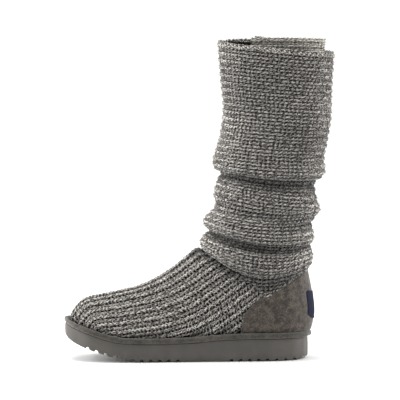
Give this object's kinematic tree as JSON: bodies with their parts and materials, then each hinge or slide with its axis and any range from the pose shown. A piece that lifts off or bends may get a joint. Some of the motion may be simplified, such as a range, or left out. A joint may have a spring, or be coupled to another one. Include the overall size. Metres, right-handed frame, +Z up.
{
  "type": "sweater boot",
  "caption": "Slouched rib-knit calf boot on a low moulded sole, with a suede heel counter and binding; hollow, open at the rim.",
  "frame": {"origin": "on the floor under the middle of the heel seat", "axes": "+Z up along the shaft, -X towards the toe, -Y towards the inner (big toe) side of a right foot"},
  "size_m": [0.29, 0.1084, 0.341],
  "materials": {
    "knit": "marled grey rib knit of acrylic and wool yarn",
    "suede": "brushed suede, short nap",
    "binding": "suede strip, short nap",
    "sole_foam": "matte moulded EVA foam",
    "label": "blank woven patch",
    "lining": "short wool pile"
  },
  "bodies": {
    "root": {"outsole": "sole_foam", "binding": "binding", "upper": "knit", "heel_counter": "suede", "heel_label": "label", "shaft": "knit", "insole": "lining"}
  },
  "joints": []
}
